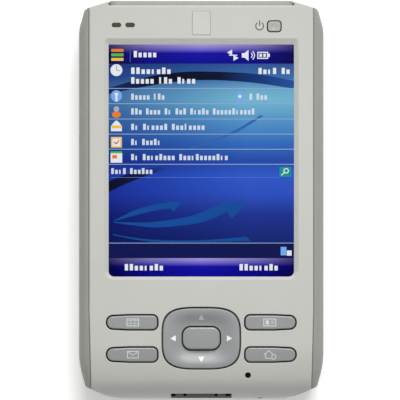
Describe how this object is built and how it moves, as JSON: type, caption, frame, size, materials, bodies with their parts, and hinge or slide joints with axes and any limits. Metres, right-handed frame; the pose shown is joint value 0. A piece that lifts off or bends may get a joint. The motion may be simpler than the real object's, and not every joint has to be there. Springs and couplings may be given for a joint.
{
  "type": "personal digital assistant",
  "caption": "Pocket digital assistant with a portrait touch screen, application keys, a rocker ring with a select key, card slots, stylus and removable battery.",
  "frame": {"origin": "middle of the back face, on the surface that the device lies on", "axes": "+Z out of the screen, +Y towards the top edge with the card slots, +X to the right of the screen"},
  "size_m": [0.0764, 0.124, 0.0203],
  "materials": {
    "shell_light": "moulded pale warm grey plastic with a fine satin grain",
    "shell_grey": "moulded mid grey plastic, fine grain",
    "rail_grey": "soft-touch painted grey plastic",
    "cap_grey": "satin grey plastic",
    "tile_light": "plain satin tile",
    "button_light": "satin plastic",
    "key_grey": "semi-gloss moulded plastic",
    "rocker_grey": "glossy moulded plastic",
    "latch_dark": "matte dark plastic",
    "lens_dark": "dark brown clear lens",
    "glass": "touch glass with a satin film",
    "display": "display cell",
    "diffuser": "white light guide",
    "rubber_black": "black elastomer or foam",
    "board_green": "solder-masked board",
    "chip_black": "moulded chip package",
    "connector_black": "glass-filled plastic",
    "connector_cream": "glass-filled plastic",
    "ribbon_amber": "polyimide film",
    "dome_metal": "snap dome sheet",
    "sheet_steel": "stamped sheet",
    "contact_gold": "gold-plated spring metal",
    "insert_brass": "knurled brass",
    "screw_steel": "zinc-plated steel",
    "led_cream": "light-emitting chip",
    "battery_black": "wrapped battery case",
    "blank_dark": "matte dark plastic",
    "stylus_grey": "satin grey plastic"
  },
  "bodies": {
    "housing": {"front_housing": "shell_light", "rear_housing": "shell_grey", "side_rail_left": "rail_grey", "side_rail_right": "rail_grey", "top_cap": "cap_grey", "badge_tile": "tile_light", "led_lens_left": "lens_dark", "led_lens_right": "lens_dark", "dome_sheet": "dome_metal", "keypad_board": "board_green", "keypad_connector": "connector_cream", "display_gasket": "rubber_black", "touch_panel": "glass", "lcd_panel": "display", "backlight": "diffuser", "display_tray": "sheet_steel", "lcd_flex": "ribbon_amber", "touch_flex": "ribbon_amber", "main_board": "board_green", "processor_shield": "sheet_steel", "processor": "chip_black", "memory_chips": "chip_black", "radio_shield": "sheet_steel", "radio_module": "chip_black", "board_chips": "chip_black", "large_card_cage": "sheet_steel", "small_card_holder": "sheet_steel", "stylus_silo": "connector_black", "battery_contacts": "contact_gold", "backup_cell": "sheet_steel", "cell_holder": "chip_black", "speaker": "chip_black", "speaker_gasket": "rubber_black", "microphone": "sheet_steel", "microphone_boot": "rubber_black", "headset_jack": "connector_black", "cradle_connector": "connector_black", "connector_contacts": "contact_gold", "power_switch": "chip_black", "reset_switch": "chip_black", "indicator_leds": "led_cream", "antenna": "contact_gold", "housing_screws": "screw_steel", "screw_inserts": "insert_brass", "board_screws": "screw_steel", "keypad_screws": "screw_steel"},
    "power_button": {"power_button": "button_light"},
    "calendar_key": {"key_calendar": "key_grey"},
    "mail_key": {"key_mail": "key_grey"},
    "contacts_key": {"key_contacts": "key_grey"},
    "home_key": {"key_home": "key_grey"},
    "select_key": {"select_key": "key_grey"},
    "rocker_web": {"nav_web": "rubber_black"},
    "rocker_ring": {"nav_ring": "rocker_grey"},
    "stylus": {"stylus": "stylus_grey"},
    "large_blank": {"large_card_blank": "blank_dark"},
    "small_blank": {"small_card_blank": "blank_dark"},
    "battery": {"battery_pack": "battery_black"},
    "door": {"battery_door": "shell_grey"},
    "latch": {"battery_latch": "latch_dark"}
  },
  "joints": [
    {"name": "power_press", "type": "slide", "parent": "housing", "child": "power_button", "axis": [0, 0, -1], "range_m": [0, 0.0005], "stiffness_N_per_m": 600, "springref_m": -0.0003},
    {"name": "calendar_press", "type": "slide", "parent": "housing", "child": "calendar_key", "axis": [0, 0, -1], "range_m": [0, 0.0005], "stiffness_N_per_m": 600, "springref_m": -0.0003},
    {"name": "mail_press", "type": "slide", "parent": "housing", "child": "mail_key", "axis": [0, 0, -1], "range_m": [0, 0.0005], "stiffness_N_per_m": 600, "springref_m": -0.0003},
    {"name": "contacts_press", "type": "slide", "parent": "housing", "child": "contacts_key", "axis": [0, 0, -1], "range_m": [0, 0.0005], "stiffness_N_per_m": 600, "springref_m": -0.0003},
    {"name": "home_press", "type": "slide", "parent": "housing", "child": "home_key", "axis": [0, 0, -1], "range_m": [0, 0.0005], "stiffness_N_per_m": 600, "springref_m": -0.0003},
    {"name": "select_press", "type": "slide", "parent": "housing", "child": "select_key", "axis": [0, 0, -1], "range_m": [0, 0.0005], "stiffness_N_per_m": 600, "springref_m": -0.0003},
    {"name": "rocker_up_down", "type": "hinge", "parent": "housing", "child": "rocker_web", "pos_m": [0, -0.04295, 0.0162], "axis": [1, 0, 0], "range_deg": [-2.5, 2.5], "stiffness_Nm_per_rad": 0.3},
    {"name": "rocker_left_right", "type": "hinge", "parent": "rocker_web", "child": "rocker_ring", "pos_m": [0, -0.04295, 0.0162], "axis": [0, 1, 0], "range_deg": [-2.5, 2.5], "stiffness_Nm_per_rad": 0.3},
    {"name": "stylus_out", "type": "slide", "parent": "housing", "child": "stylus", "axis": [0, 1, 0], "range_m": [0, 0.105]},
    {"name": "large_blank_out", "type": "slide", "parent": "housing", "child": "large_blank", "axis": [0, 1, 0], "range_m": [0, 0.04]},
    {"name": "small_blank_out", "type": "slide", "parent": "housing", "child": "small_blank", "axis": [0, 1, 0], "range_m": [0, 0.034]},
    {"name": "battery_out", "type": "slide", "parent": "housing", "child": "battery", "axis": [0, 0, -1], "range_m": [0, 0.014]},
    {"name": "door_slide", "type": "slide", "parent": "battery", "child": "door", "axis": [0, -1, 0], "range_m": [0, 0.06]},
    {"name": "latch_slide", "type": "slide", "parent": "housing", "child": "latch", "axis": [1, 0, 0], "range_m": [0, 0.003]}
  ]
}
